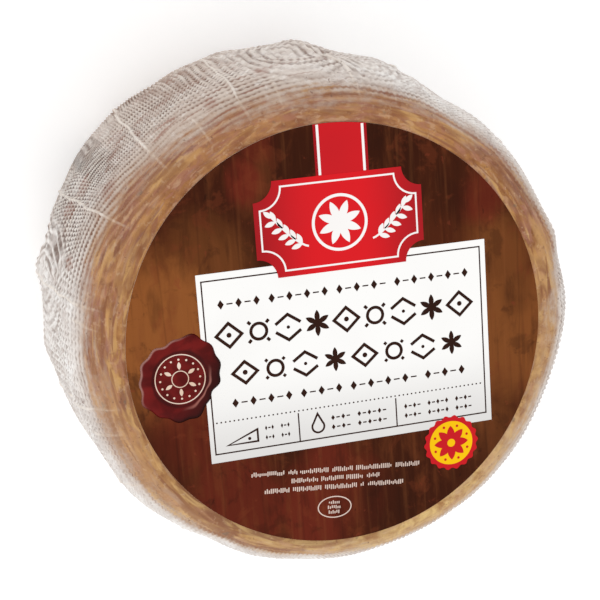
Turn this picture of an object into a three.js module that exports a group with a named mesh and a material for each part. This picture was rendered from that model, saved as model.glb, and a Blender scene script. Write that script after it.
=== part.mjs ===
// A whole wheel of hard cheese, aged in a cloth, with a round paper label on its upper face.
//
// Millimetres, +Z up. The wheel lies on its flat lower face with the label up, and the origin is
// the middle of the bounding box's base. +X points to the label's right and +Y to the label's top.
// Angles are in degrees, counted from +X towards +Y round the wheel's axis, and depths are counted
// down from the wheel's upper face.

import * as THREE from "three";

// The drum: a flat face, a rounded shoulder, a side that swells a little, and the same below.
const HEIGHT = 106;
const SIDE_RADIUS = 81;
const BELLY = 2;
const TOP_FACE_RADIUS = 66;
const TOP_SHOULDER = 35;
const BASE_FACE_RADIUS = 69;
const BASE_SHOULDER = 20;

// The paper disc, laid a little off the wheel's axis.
const LABEL_RADIUS = 65;
const LABEL_THICKNESS = 0.3;
const LABEL_OFF_AXIS = [-0.8, -1.1];
const LABEL_SIDES = 128;

// Ridges that the folds of the cloth left in the side, each from one depth to another.
// A fold leans when its angle at the upper face isn't its angle at the base.
const FOLD_HALF_WIDTH = 0.8;
const FOLD_FADE = 9;
const SEEN_FOLDS = [
  { top: 81, base: 87, from: 4, to: 62, height: 0.5 },
  { top: 108.8, base: 103.5, from: 4, to: 88, height: 0.6 },
  { top: 131.4, base: 127.2, from: 9, to: 102, height: 0.8 },
  { top: 147, base: 152.5, from: 7, to: 96, height: 0.8 },
  { top: 167.4, base: 172.6, from: 9, to: 92, height: 0.6 },
  { top: 191.2, base: 197, from: 5, to: 70, height: 0.5 },
];
// The side that faces away has the same folds at an even spacing, leaning by turns.
const FAR_FOLD_COUNT = 11;
const FAR_FOLD = { from: 16, to: 94, height: 0.6, lean: 4 };

// Swellings and hollows of the hand-formed side: where each is, how far it reaches round the wheel
// (degrees) and up and down it (mm), and how far it stands out.
const BULGES = [
  { angle: 355, depth: 10, reach: 13, rise: 26, height: 1.2 },
  { angle: 15, depth: 12, reach: 3.5, rise: 16, height: 1 },
  { angle: 56, depth: 25, reach: 7, rise: 22, height: -2 },
  { angle: 66, depth: 50, reach: 4, rise: 16, height: 0.6 },
  { angle: 74, depth: 57, reach: 5, rise: 16, height: -0.8 },
  { angle: 84, depth: 68, reach: 4, rise: 18, height: 1.7 },
  { angle: 98, depth: 90, reach: 4, rise: 14, height: 0.8 },
  { angle: 117, depth: 90, reach: 5, rise: 16, height: -0.8 },
  { angle: 151, depth: 92, reach: 6, rise: 16, height: -0.6 },
  { angle: 170, depth: 88, reach: 4, rise: 10, height: 2.2 },
  { angle: 186, depth: 70, reach: 4, rise: 14, height: 1.2 },
  { angle: 218, depth: 25, reach: 8, rise: 22, height: 1.2 },
  { angle: 237, depth: 17, reach: 5, rise: 18, height: -0.7 },
  { angle: 258, depth: 11, reach: 6, rise: 24, height: -0.5 },
  { angle: 292, depth: 8, reach: 16, rise: 26, height: -0.6 },
];

// How finely the surface is divided.
const COLUMN_STEP = 3.2;
const TOP_SHOULDER_ROWS = 10;
const SIDE_ROWS = 12;
const BASE_SHOULDER_ROWS = 6;

const RIND_COLOUR = 0xc3b8a8;
const LABEL_COLOUR = 0x4a2418;

const radians = (degrees) => (degrees * Math.PI) / 180;
const mix = (a, b, share) => a + (b - a) * share;
const smooth = (share) => {
  const t = Math.min(1, Math.max(0, share));
  return t * t * (3 - 2 * t);
};

// The drum's half section from the edge of the upper face to the edge of the lower one. Each point
// has its radius, its depth, the direction it faces, and how much of a bulge reaches it: none at a
// flat face.
function sectionPoints() {
  const points = [];
  const shoulder = (faceRadius, size, quarter) => {
    const width = SIDE_RADIUS - faceRadius;
    const out = Math.sin(quarter) / width;
    const up = Math.cos(quarter) / size;
    const length = Math.hypot(out, up);
    return {
      radius: faceRadius + width * Math.sin(quarter),
      drop: size * (1 - Math.cos(quarter)),
      out: out / length,
      up: up / length,
      share: smooth(quarter / radians(30)),
    };
  };
  for (let i = 0; i <= TOP_SHOULDER_ROWS; i++) {
    const p = shoulder(TOP_FACE_RADIUS, TOP_SHOULDER, radians((90 * i) / TOP_SHOULDER_ROWS));
    points.push({ ...p, depth: p.drop });
  }
  const sideHeight = HEIGHT - TOP_SHOULDER - BASE_SHOULDER;
  for (let i = 1; i < SIDE_ROWS; i++) {
    const share = i / SIDE_ROWS;
    points.push({
      radius: SIDE_RADIUS + BELLY * Math.sin(Math.PI * share) ** 2,
      depth: TOP_SHOULDER + sideHeight * share,
      out: 1,
      up: 0,
      share: 1,
    });
  }
  for (let i = BASE_SHOULDER_ROWS; i >= 0; i--) {
    const p = shoulder(BASE_FACE_RADIUS, BASE_SHOULDER, radians((90 * i) / BASE_SHOULDER_ROWS));
    points.push({ ...p, depth: HEIGHT - p.drop, up: -p.up });
  }
  return points;
}

// All folds in order round the wheel: the seen ones, and the far ones spread over the rest.
function allFolds() {
  const last = SEEN_FOLDS[SEEN_FOLDS.length - 1];
  const gap = (SEEN_FOLDS[0].top + 360 - last.top) / (FAR_FOLD_COUNT + 1);
  const far = [];
  for (let i = 1; i <= FAR_FOLD_COUNT; i++) {
    const top = last.top + gap * i;
    far.push({ ...FAR_FOLD, top, base: top + (i % 2 ? FAR_FOLD.lean : -FAR_FOLD.lean) });
  }
  return [...SEEN_FOLDS, ...far];
}

// The columns of the surface: three along each fold, with its crest in the middle one, and evenly
// spaced ones in between that lean as their neighbours do.
function surfaceColumns() {
  const folds = allFolds();
  const columns = [];
  folds.forEach((fold, i) => {
    const turn = i + 1 < folds.length ? 0 : 360;
    const next = folds[(i + 1) % folds.length];
    for (const side of [-FOLD_HALF_WIDTH, 0, FOLD_HALF_WIDTH])
      columns.push({ top: fold.top + side, base: fold.base + side, fold: side ? null : fold });
    const from = { top: fold.top + FOLD_HALF_WIDTH, base: fold.base + FOLD_HALF_WIDTH };
    const to = {
      top: next.top + turn - FOLD_HALF_WIDTH,
      base: next.base + turn - FOLD_HALF_WIDTH,
    };
    const steps = Math.round((to.top - from.top) / COLUMN_STEP);
    for (let k = 1; k < steps; k++)
      columns.push({
        top: mix(from.top, to.top, k / steps),
        base: mix(from.base, to.base, k / steps),
        fold: null,
      });
  });
  return columns;
}

// How far the bulges push the surface out at one angle and depth.
function bulgeAt(angle, depth) {
  return BULGES.reduce((sum, bulge) => {
    const away = ((angle - bulge.angle + 540) % 360) - 180;
    const round = (away / bulge.reach) ** 2;
    const along = ((depth - bulge.depth) / bulge.rise) ** 2;
    return sum + bulge.height * Math.exp(-round - along);
  }, 0);
}

// The height of a fold's crest at one depth: full along its length and fading at both ends.
function crestAt(fold, depth) {
  if (!fold) return 0;
  const start = smooth((depth - fold.from) / FOLD_FADE);
  const end = smooth((fold.to - depth) / FOLD_FADE);
  return fold.height * start * end;
}

// The wheel: rings of points from the upper face to the lower one, closed by a fan on each face.
function wheelGeometry() {
  const section = sectionPoints();
  const columns = surfaceColumns();
  const count = columns.length;
  const positions = [];
  section.forEach((point) => {
    columns.forEach((column) => {
      const angle = mix(column.top, column.base, point.depth / HEIGHT);
      const rise = point.share * (bulgeAt(angle, point.depth) + crestAt(column.fold, point.depth));
      const radius = point.radius + rise * point.out;
      positions.push(
        radius * Math.cos(radians(angle)),
        radius * Math.sin(radians(angle)),
        HEIGHT - point.depth + rise * point.up,
      );
    });
  });
  const topCentre = positions.length / 3;
  positions.push(0, 0, HEIGHT);
  positions.push(0, 0, 0);

  const index = [];
  const lastRow = (section.length - 1) * count;
  for (let c = 0; c < count; c++) {
    const d = (c + 1) % count;
    index.push(topCentre, c, d);
    index.push(topCentre + 1, lastRow + d, lastRow + c);
    for (let row = 0; row < lastRow; row += count) {
      index.push(row + c, row + count + c, row + count + d);
      index.push(row + c, row + count + d, row + d);
    }
  }
  const geometry = new THREE.BufferGeometry();
  geometry.setAttribute("position", new THREE.Float32BufferAttribute(positions, 3));
  geometry.setIndex(index);
  geometry.computeVertexNormals();
  return geometry;
}

function makeWheel() {
  const material = new THREE.MeshStandardMaterial({ color: RIND_COLOUR, roughness: 0.85 });
  const wheel = new THREE.Mesh(wheelGeometry(), material);
  wheel.name = "wheel";
  return wheel;
}

// The label: a thin disc that lies on the wheel's upper face.
function makeLabel() {
  const disc = new THREE.CylinderGeometry(
    LABEL_RADIUS,
    LABEL_RADIUS,
    LABEL_THICKNESS,
    LABEL_SIDES,
  );
  disc.rotateX(Math.PI / 2);
  disc.translate(0, 0, LABEL_THICKNESS / 2);
  const material = new THREE.MeshStandardMaterial({ color: LABEL_COLOUR, roughness: 0.5 });
  const label = new THREE.Mesh(disc, material);
  label.name = "label";
  label.position.set(...LABEL_OFF_AXIS, HEIGHT);
  return label;
}

const cheese = new THREE.Group();
cheese.add(makeWheel(), makeLabel());
// The bulges are uneven, so the box's middle isn't quite the wheel's axis: the group moves over it.
const middle = new THREE.Box3().setFromObject(cheese, true).getCenter(new THREE.Vector3());
cheese.position.set(-middle.x, -middle.y, 0);

export default cheese;
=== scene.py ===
import math

import bpy
import numpy as np
from mathutils import Matrix, Vector


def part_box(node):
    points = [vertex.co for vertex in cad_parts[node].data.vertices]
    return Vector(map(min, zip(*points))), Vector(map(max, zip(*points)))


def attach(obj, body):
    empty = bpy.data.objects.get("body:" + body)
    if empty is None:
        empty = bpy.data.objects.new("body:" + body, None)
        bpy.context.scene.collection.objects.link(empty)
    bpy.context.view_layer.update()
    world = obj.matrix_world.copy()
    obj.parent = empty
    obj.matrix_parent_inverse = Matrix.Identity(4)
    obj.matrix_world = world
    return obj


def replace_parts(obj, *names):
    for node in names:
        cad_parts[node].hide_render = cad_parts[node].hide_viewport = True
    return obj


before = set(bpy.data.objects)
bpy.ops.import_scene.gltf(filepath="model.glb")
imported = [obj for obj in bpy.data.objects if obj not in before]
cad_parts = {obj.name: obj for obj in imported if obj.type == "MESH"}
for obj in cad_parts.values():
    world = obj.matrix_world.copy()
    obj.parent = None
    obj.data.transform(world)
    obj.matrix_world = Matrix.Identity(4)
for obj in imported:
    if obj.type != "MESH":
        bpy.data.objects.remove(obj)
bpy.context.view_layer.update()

# Lengths are in millimetres up to the moment a mesh is made. Angles are in degrees, counted from +X
# towards +Y round the wheel's axis, and depths are counted down from the wheel's upper face.
MM = 0.001

# ---- the wheel's form ----------------------------------------------------------------------
HEIGHT = 106
SIDE_RADIUS = 81
BELLY = 2
MM_PER_DEGREE = math.pi / 180 * SIDE_RADIUS
TOP_FACE_RADIUS = 66
TOP_SHOULDER = 35
BASE_FACE_RADIUS = 69
BASE_SHOULDER = 20
LABEL_OFF_AXIS = (-0.8, -1.1)

# Ridges that the folds of the cloth left: (angle at the upper face, angle at the base, first
# depth, last depth, height)
SEEN_FOLDS = (
    (81, 87, 4, 62, 0.5),
    (108.8, 103.5, 4, 88, 0.6),
    (131.4, 127.2, 9, 102, 0.8),
    (147, 152.5, 7, 96, 0.8),
    (167.4, 172.6, 9, 92, 0.6),
    (191.2, 197, 5, 70, 0.5),
)
# Short folds that only show near the upper shoulder.
SHORT_FOLDS = (
    (100, 98, 4, 16, 0.4),
    (119.5, 119, 4, 17, 0.4),
    (172.5, 168, 10, 22, 0.5),
    (198, 200, 7, 24, 0.4),
    (72, 74, 4, 14, 0.4),
)
FAR_FOLD_COUNT = 11
FAR_FOLD = (16, 94, 0.6)
FAR_FOLD_LEAN = 4
FOLD_HALF_WIDTH = 0.85
FOLD_FADE = 9
# Each fold's pale line starts nearer the label than its ridge does, as a beaded hairline.
HAIRLINE_HALF_WIDTH = 0.5
HAIRLINE_BEADS = 2.3
HAIRLINE_START = 0.7
HAIRLINE_FADE = 6

# Swellings and hollows: (angle, depth, reach round the wheel in degrees, reach up and down in mm,
# height)
BULGES = (
    (355, 10, 13, 26, 1.2), (15, 12, 3.5, 16, 1), (56, 25, 7, 22, -2), (66, 50, 4, 16, 0.6),
    (74, 57, 5, 16, -0.8), (84, 68, 4, 18, 1.7), (98, 90, 4, 14, 0.8), (117, 90, 5, 16, -0.8),
    (151, 92, 6, 16, -0.6), (170, 88, 4, 10, 2.2), (186, 70, 4, 14, 1.2), (218, 25, 8, 22, 1.2),
    (237, 17, 5, 18, -0.7), (258, 11, 6, 24, -0.5), (292, 8, 16, 26, -0.6),
)

# ---- the cloth's print in the rind ---------------------------------------------------------
COLUMNS_PER_THREAD = 4
ROW_STEP = 0.62
BASE_ROW_STEP = 6
FACE_SHOWN = 62
BASE_HOLE = 3
FOOT_FADE = 9
ROUND_PITCH = 3.0
# The threads that run down the side lie closer in some places: (angle, pitch)
ALONG_PITCH = (
    (66, 1.8), (84, 2.2), (100, 2.1), (108, 1.95), (116, 1.55), (124, 1.15), (140, 1.0),
    (148, 1.25), (156, 1.5), (164, 2.0), (172, 2.3), (182, 2.2), (200, 1.7), (270, 1.5), (330, 1.8),
)
# The threads that run round dip and rise: (angle, how far they lie lower down the side)
ROW_DIP = (
    (84, 0), (92, 1.3), (100, 1.3), (116, 2.4), (124, 4.2), (132, 2.8), (140, 4.6), (148, 6.8),
    (156, 8.4), (166, 9), (200, 7), (260, 3), (300, 5), (350, 1),
)
# They lie closer on the shoulder: (angle, how many more there are between two depths)
ROW_CROWDING = ((84, 1.3), (132, 1.4), (146, 0.5), (166, -0.3), (182, 0.2), (200, 0.6), (240, 1.1))
CROWDED_FROM = 5
CROWDED_OVER = 15
EYE_PITCH = 2.9
EYE_CALM = 7
THREAD_RELIEF = 0.26
TEETH_RELIEF = 0.46
# Places where the cloth was gathered and its threads loop round a line that runs down the side:
# (angle, line's first and last distance down the side, reach of the loops, how much longer the
# loops are down the side than round it, how uneven they are)
EYES = (
    (90, 46, 52, 23, 2.6, 1),
    (75, 27, 44, 17, 1.4, 1),
    (134, 76, 100, 15, 1, 1.3),
    (169, 66, 80, 23, 2.2, 1.4),
    (276, 54, 57, 15, 1.8, 0.9),
    (338, 38, 41, 15, 1.8, 0.9),
)
# The pale bloom round the wheel: (angle, how thick it is, how far down the side it begins)
BLOOM = (
    (0, 0.9, 3), (10, 0.7, 7), (20, 0.38, 11.6), (38, 0.76, 9), (58, 0.95, 7.4),
    (68, 0.92, 6.6), (76, 0.5, 6.3), (84, 0.28, 6.5), (100, 0.13, 7), (118, 0, 10),
    (142, 0.24, 15.2), (154, 0.42, 15.2), (165, 0.82, 14.6), (178, 0.98, 14.2), (200, 0.82, 12.6),
    (220, 0.82, 10.2), (240, 0.87, 8.8), (260, 0.95, 5.6), (280, 1, 6.6), (305, 0.9, 7.2),
    (322, 0.74, 4.2), (340, 0.85, 3.6),
)
# Over what distance the bloom sets in: (angle, distance)
BLOOM_BLUR = (
    (0, 4), (40, 5.5), (60, 5.5), (72, 8), (100, 10), (160, 10), (180, 10), (200, 10.5), (230, 6),
    (340, 4.5),
)
# How strongly the cloth's print shows round the wheel: (angle, share)
PRINT = (
    (60, 0.8), (74, 1), (88, 1), (102, 0.8), (116, 0.74), (130, 0.68), (144, 1.1), (158, 1.45),
    (172, 0.9), (186, 0.9), (200, 0.6), (214, 0.2), (250, 0.15), (270, 0.8), (330, 1),
)
# How much of it shows before the bloom begins: (angle, share)
BARE_PRINT = ((60, 1), (148, 1), (166, 0.3), (240, 0.1), (300, 0.5), (340, 0.8))
# Where the threads along lean: (angle, how far they move back round the wheel for each mm down)
THREAD_LEAN = ((136, 0), (144, 0.22), (158, 0.24), (168, 0))
LEAN_FROM = 24
# Angles where the cloth was gathered, where the threads round show furthest down, and where the
# shoulder is smoothest
GATHERED_AT = 152
ROUND_AT = 136
SMOOTH_AT = 140
# Rosy spots where the rind shows through: (angle, distance down, reach round, reach down)
BLOTCHES = (
    (143, 26, 2.8, 6), (136, 43, 2.6, 2.6), (133, 48, 2.4, 1.6), (120, 46, 2.4, 2.2),
    (114, 19, 1.6, 4), (100, 26, 1.6, 5), (129.5, 36, 1, 5), (161, 34, 1.6, 4), (146, 52, 3, 4),
    (152, 54, 2, 6), (244, 38, 3, 4), (300, 60, 3, 5), (10, 44, 3, 4),
)
SEED = 7

# ---- the finish ----------------------------------------------------------------------------
# Angles of the label's foot, of the shoulder's part that is mottled and has no streaks, of a part
# # with more veins and with painted shadow along the label's edge, and of a part that is lighter
LABEL_FOOT = 285
BROKEN_AT = -55.2
LOWER_LEFT = 245
LEFT = 208
# The pitch of the threads on the lower face, along y and along x
LOWER_FACE_PITCH = (3.1, 1.7)
BOARD_WIDTH = 12.5
PATCH_SQUASH = 0.8
# The label's ground: each colour, and its patches (x, y, radius, strength)
LABEL_PATCHES = (
    ((140, 82, 40), (
        (-53, 8, 22, 1.0), (-40, 26, 15, 0.4), (52, 18, 13, 0.5), (56, -6, 20, 0.7),
        (47, -38, 12, 0.3),
    )),
    ((108, 38, 24), (
        (-12, -54, 14, 0.75), (-28, -52, 12, 0.6), (-6, -42, 10, 0.7), (-25, 50, 7, 0.8),
        (-21, 60, 6, 0.5), (48, 38, 8, 0.6), (-48, -22, 13, 0.55), (-36, -43, 15, 0.6),
        (2, -50, 12, 0.45),
    )),
    ((52, 21, 9), (
        (20, 56, 17, 0.8), (34, 48, 14, 0.6), (34, -54, 20, 0.7), (12, -58, 12, 0.6),
        (-10, 55, 10, 0.6), (-40, 44, 12, 0.2), (-58, -30, 10, 0.35), (58, 6, 6, 0.3),
    )),
)


def smooth(share):
    """A soft step from 0 to 1."""
    t = np.clip(share, 0, 1)
    return t * t * (3 - 2 * t)


def section():
    """The drum's half section, from just inside the label's edge to near the middle of the lower
    face, as arrays of distance down the surface from the upper face's edge, radius, depth, outward
    and upward direction, and the share of a bulge that reaches there. The last value is the
    distance at the lower face's edge."""
    quarter = np.radians(np.linspace(0, 90, 400))
    side = np.linspace(0, 1, 400)[1:-1]
    shoulders = []
    for face, tall in ((TOP_FACE_RADIUS, TOP_SHOULDER), (BASE_FACE_RADIUS, BASE_SHOULDER)):
        width = SIDE_RADIUS - face
        out, up = np.sin(quarter) / width, np.cos(quarter) / tall
        length = np.hypot(out, up)
        drop = tall * (1 - np.cos(quarter))
        share = smooth(quarter / math.radians(30))
        shoulders.append([face + width * np.sin(quarter), drop, out / length, up / length, share])
    top, base = shoulders
    base[1] = HEIGHT - base[1]
    base[3] = -base[3]
    middle = [
        SIDE_RADIUS + BELLY * np.sin(np.pi * side) ** 2,
        TOP_SHOULDER + (HEIGHT - TOP_SHOULDER - BASE_SHOULDER) * side,
        np.ones_like(side),
        np.zeros_like(side),
        np.ones_like(side),
    ]
    face = [[FACE_SHOWN], [0], [0], [1], [0]]
    foot = [[BASE_HOLE], [HEIGHT], [0], [-1], [0]]
    radius, depth, out, up, share = (
        np.concatenate([a, b, c, d[::-1], e]) for a, b, c, d, e in zip(face, top, middle, base, foot)
    )
    down = np.concatenate([[0], np.cumsum(np.hypot(np.diff(radius), np.diff(depth)))])
    down -= TOP_FACE_RADIUS - FACE_SHOWN
    edge = down[-2]
    rows = np.linspace(down[0], edge, round((edge - down[0]) / ROW_STEP) + 1)
    at = np.append(rows, np.arange(edge + BASE_ROW_STEP, down[-1], BASE_ROW_STEP))
    return [at] + [np.interp(at, down, values) for values in (radius, depth, out, up, share)] + [edge]


def side_noise(angle, down, across, tall, rng):
    """Smooth noise from -1 to 1 over the side, in cells about `across` mm round the wheel and
    `tall` mm down it. It meets itself round the wheel."""
    cells = max(4, round(2 * math.pi * SIDE_RADIUS / across))
    grid = rng.uniform(-1, 1, (math.ceil((down[-1] - down[0]) / tall) + 2, cells))
    u, v = (angle / 360 % 1) * cells, (down - down[0]) / tall
    iu, iv = np.floor(u).astype(int), np.floor(v).astype(int)
    fu, fv = smooth(u - iu), smooth(v - iv)[:, None]
    rows = grid[iv] * (1 - fv) + grid[iv + 1] * fv
    return rows[:, iu % cells] * (1 - fu) + rows[:, (iu + 1) % cells] * fu


def turned(angle, centre):
    """How many degrees angle lies past centre, from -180 to 180."""
    return (angle - centre + 540) % 360 - 180


def all_folds():
    """The folds that show, the short ones, and the far ones spread evenly over the rest."""
    last = SEEN_FOLDS[-1][0]
    gap = (SEEN_FOLDS[0][0] + 360 - last) / (FAR_FOLD_COUNT + 1)
    far = []
    for i in range(1, FAR_FOLD_COUNT + 1):
        top = last + gap * i
        far.append((top, top + (FAR_FOLD_LEAN if i % 2 else -FAR_FOLD_LEAN)) + FAR_FOLD)
    return SEEN_FOLDS + tuple(far) + SHORT_FOLDS


def column_angles():
    """The angles of the surface's columns, which are closer where the threads are, and the count
    of threads up to each."""
    fine = np.arange(3600) / 10
    density = 1 / np.interp(fine, *zip(*ALONG_PITCH), period=360)
    so_far = np.concatenate([[0], np.cumsum(density)])
    count = round(so_far[-1] * math.pi / 1800 * SIDE_RADIUS)
    so_far *= count / so_far[-1]
    threads = np.arange(count * COLUMNS_PER_THREAD) / COLUMNS_PER_THREAD
    return np.interp(threads, so_far, np.append(fine, 360)), threads


def rind_fields():
    """Everything that varies over the rind, as arrays of rows by columns."""
    rng = np.random.default_rng(SEED)
    down, radius, depth, out, up, share, base_edge = section()
    angle, threads = column_angles()

    def col(values):
        return values[:, None]

    def noise(*layers):
        """A sum of noises: (size, cells' length round the wheel, cells' height)."""
        return sum(size * side_noise(angle, down, *cells, rng) for size, *cells in layers)

    def by_angle(table):
        return np.interp(angle, *zip(*table), period=360)

    def near(centre, reach, fade):
        """1 within `reach` degrees of an angle, and 0 from `fade` further on."""
        return smooth(1 - (np.abs(turned(angle, centre)) - reach) / fade)

    def below(distance, over):
        """0 above a distance down the side, and 1 from `over` further down."""
        return col(smooth((down - distance) / over))

    bulge = np.zeros((len(down), len(angle)))
    for centre, deep, reach, rise, height in BULGES:
        round_part = (turned(angle, centre) / reach) ** 2
        bulge += height * np.exp(-round_part - col((depth - deep) / rise) ** 2)

    wander = noise((0.35, 14, 9))
    fold, crest, hairline, eye, ring, calm, blotch = (np.zeros_like(bulge) for _ in range(7))
    beads = 0.7 + 0.3 * np.cos(2 * math.pi * down / HAIRLINE_BEADS)
    for top, base, first, last, height in all_folds():
        line = top + (base - top) * depth / HEIGHT
        away = (turned(angle, col(line)) + wander) * MM_PER_DEGREE
        end = smooth((last - depth) / FOLD_FADE)
        start = smooth((down - HAIRLINE_START * first) / HAIRLINE_FADE)
        thin = np.maximum(0, 1 - (away / HAIRLINE_HALF_WIDTH) ** 2) * col(start * end * beads)
        hairline = np.maximum(hairline, thin)
        shape = np.maximum(0, 1 - (away / FOLD_HALF_WIDTH) ** 2) ** 2
        shape = shape * col(smooth((depth - first) / FOLD_FADE) * end)
        fold = np.maximum(fold, shape)
        crest += height * shape

    for centre, first, last, reach, stretch, uneven in EYES:
        across = turned(angle, centre)[None, :] * MM_PER_DEGREE
        past = np.abs(down - np.clip(down, first, last))
        past = past / stretch + (1 - 1 / stretch) * 6 * (past / 30) ** 2
        away = np.hypot(across, col(past)) + uneven * noise((1.5, 18, 14), (0.7, 7, 8))
        shape = smooth((reach - away) / (0.45 * reach))
        ring = np.where(shape > eye, away / EYE_PITCH, ring)
        calm = np.maximum(calm, smooth((EYE_CALM - away) / 4))
        eye = np.maximum(eye, shape)

    warp = noise((0.8, 52, 34), (0.45, 17, 14), (0.15, 6, 6))
    crowded = np.clip((down - CROWDED_FROM) / CROWDED_OVER, 0, 1)
    threads_round = (col(down) - by_angle(ROW_DIP)) / ROUND_PITCH
    threads_round = threads_round + by_angle(ROW_CROWDING) * col(crowded) + warp
    threads_along = threads[None, :] + noise((1.8, 60, 40), (0.7, 16, 24), (0.22, 5, 16))
    lean = by_angle(THREAD_LEAN) / by_angle(ALONG_PITCH)
    threads_along = threads_along + lean * col(np.maximum(down - LEAN_FROM, 0))

    angles, thickness, starts = zip(*BLOOM)
    edge = by_angle(zip(angles, starts))[None, :] + noise((1.6, 34, 9), (1.0, 12, 3))
    bloom = (col(down) - edge) / by_angle(BLOOM_BLUR) + 0.5
    strength = 0.6 + 0.25 * below(14, 30) + noise((0.2, 26, 16), (0.18, 8, 7))
    gathered = near(GATHERED_AT, 9, 9) * below(30, 16)
    strength = np.clip(strength * by_angle(PRINT) + 0.5 * gathered, 0.06, 1.6)
    strength = strength * smooth((col(down) - edge + 3) / 8) * (1 - 0.5 * calm)
    woven = np.minimum(by_angle(PRINT), 1) * by_angle(BARE_PRINT) * below(1, 7)
    along_share = (col(down) - 26) / 40 + noise((0.25, 24, 20)) - 0.42 * near(ROUND_AT, 14, 14)
    along_share = smooth(along_share) * (1 - 0.6 * eye)
    ridge_round, ridge_along, ridge_eye = (
        0.5 + 0.5 * np.cos(2 * np.pi * phase) for phase in (threads_round, threads_along, ring)
    )
    weave = (1 - eye) * ridge_round * (1 - 0.6 * along_share) + eye * ridge_eye
    weave = weave + ridge_along * (0.25 + 0.6 * along_share)
    thick = by_angle(zip(angles, thickness)) + noise((0.2, 34, 26), (0.14, 9, 9))

    lumps = noise((0.35, 38, 26), (0.16, 13, 9), (0.08, 5, 4), (0.05, 1.6, 1.4), (0.05, 26, 2.2))
    plain = near(SMOOTH_AT, 44, 12) * col(smooth((32 - down) / 14))
    teeth = TEETH_RELIEF * (ridge_along - 0.5) * below(4, 6) * (1 - 0.75 * plain)
    relief = bulge + crest + lumps + teeth + THREAD_RELIEF * strength * (weave - 0.6)

    for centre, deep, reach, rise in BLOTCHES:
        spot = ((turned(angle, centre) / reach) ** 2) + col((down - deep) / rise) ** 2
        blotch = np.maximum(blotch, smooth(1.1 - 0.8 * spot - noise((0.6, 5, 3))))

    def settled(values, plain):
        """What varies round the wheel evens out towards the lower face."""
        return values + (plain - values) * below(base_edge - FOOT_FADE, FOOT_FADE)

    return {
        "rise": relief * col(share),
        "place": (angle, radius, depth, out, up),
        "point": {
            "down": np.broadcast_to(col(down), bulge.shape),
            "bloom": settled(bloom, 4),
            "thick": settled(np.clip(thick, 0, 1), 0.8),
            "fold": fold,
            "hairline": hairline,
            "blotch": settled(blotch, 0),
            "strength": settled(strength, 0.6),
            "woven": settled(woven, 0.5),
            "along_share": settled(along_share, 0.4),
            "thread_round": threads_round,
            "thread_eye": ring,
            "eye": settled(eye, 0),
            "base": np.broadcast_to(col(down) > base_edge, bulge.shape),
        },
        "thread_along": threads_along,
        "thread_count": len(angle) // COLUMNS_PER_THREAD,
    }


def add_object(name, mesh):
    made = bpy.data.objects.new(name, mesh)
    bpy.context.scene.collection.objects.link(made)
    return made


def add_piece(name, mesh, slot, *materials):
    """A mesh as a piece that rides on the wheel's body and takes the given materials. The slot is not
    used.
    """
    for material in materials:
        mesh.materials.append(material)
    mesh.update()
    piece = add_object(name, mesh)
    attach(piece, "root")
    return piece


def skin(name, points, smooth_quads=True):
    """A closed mesh over rings of points, which go from the upper face outwards and down: quads
    between the rings, whose corners it gives too, and last a flat face at each end."""
    rings, sides = points.shape[:2]
    start = np.arange(rings - 1)[:, None] * sides
    here = np.arange(sides)
    beside = (here + 1) % sides
    corners = (start + here, start + sides + here, start + sides + beside, start + beside)
    quads = np.stack(corners, axis=-1).reshape(-1, 4)
    upper = list(range(sides))
    lower = list(range(rings * sides - 1, (rings - 1) * sides - 1, -1))
    mesh = bpy.data.meshes.new(name)
    mesh.from_pydata(points.reshape(-1, 3).tolist(), [], quads.tolist() + [upper, lower])
    mesh.polygons.foreach_set("use_smooth", [smooth_quads] * len(quads) + [False, False])
    return mesh, quads


def make_rind():
    """The cheese itself: a closed skin of even quads with the cloth's print as true relief."""
    fields = rind_fields()
    angle, radius, depth, out, up = fields["place"]
    turn = np.radians(angle)[None, :]
    rise = fields["rise"]
    reach = radius[:, None] + rise * out[:, None]
    axis = LABEL_CENTRE - MM * Vector((*LABEL_OFF_AXIS, 0))
    height = WHEEL_TOP + MM * (rise * up[:, None] - depth[:, None])
    x, y = axis.x + MM * reach * np.cos(turn), axis.y + MM * reach * np.sin(turn)
    mesh, quads = skin("rind", np.stack([x, y, height], axis=-1))
    for name, values in fields["point"].items():
        layer = mesh.attributes.new(name, "FLOAT", "POINT")
        layer.data.foreach_set("value", np.ascontiguousarray(values, np.float32).reshape(-1))
    # The count of threads along starts again at the seam, so it is kept by corner and the corners
    # past the seam count on.
    along = fields["thread_along"].reshape(-1)[quads].reshape(len(radius) - 1, len(angle), 4)
    along[:, -1, 2:] += fields["thread_count"]
    corners = np.concatenate([along.reshape(-1), np.zeros(2 * len(angle))]).astype(np.float32)
    mesh.attributes.new("thread_along", "FLOAT", "CORNER").data.foreach_set("value", corners)
    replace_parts(add_piece("rind", mesh, "rind", rind_material()), "wheel")


# ---- materials -----------------------------------------------------------------------------
def colour(red, green, blue):
    """An 8-bit screen colour as the linear colour that shaders take."""
    share = np.array([red, green, blue]) / 255
    linear = np.where(share <= 0.04045, share / 12.92, ((share + 0.055) / 1.055) ** 2.4)
    return (*map(float, linear), 1.0)


class Value:
    """A value in a shader. Arithmetic on it adds the nodes that work out the result."""

    def __init__(self, shader, socket):
        self.shader, self.socket = shader, socket

    def __add__(self, other):
        return self.shader.maths("ADD", self, other)

    def __sub__(self, other):
        return self.shader.maths("SUBTRACT", self, other)

    def __rsub__(self, other):
        return self.shader.maths("SUBTRACT", other, self)

    def __mul__(self, other):
        return self.shader.maths("MULTIPLY", self, other)

    def __truediv__(self, other):
        return self.shader.maths("DIVIDE", self, other)

    def __pow__(self, other):
        return self.shader.maths("POWER", self, other)

    def __abs__(self):
        return self.shader.maths("ABSOLUTE", self)

    __radd__ = __add__
    __rmul__ = __mul__


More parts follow.
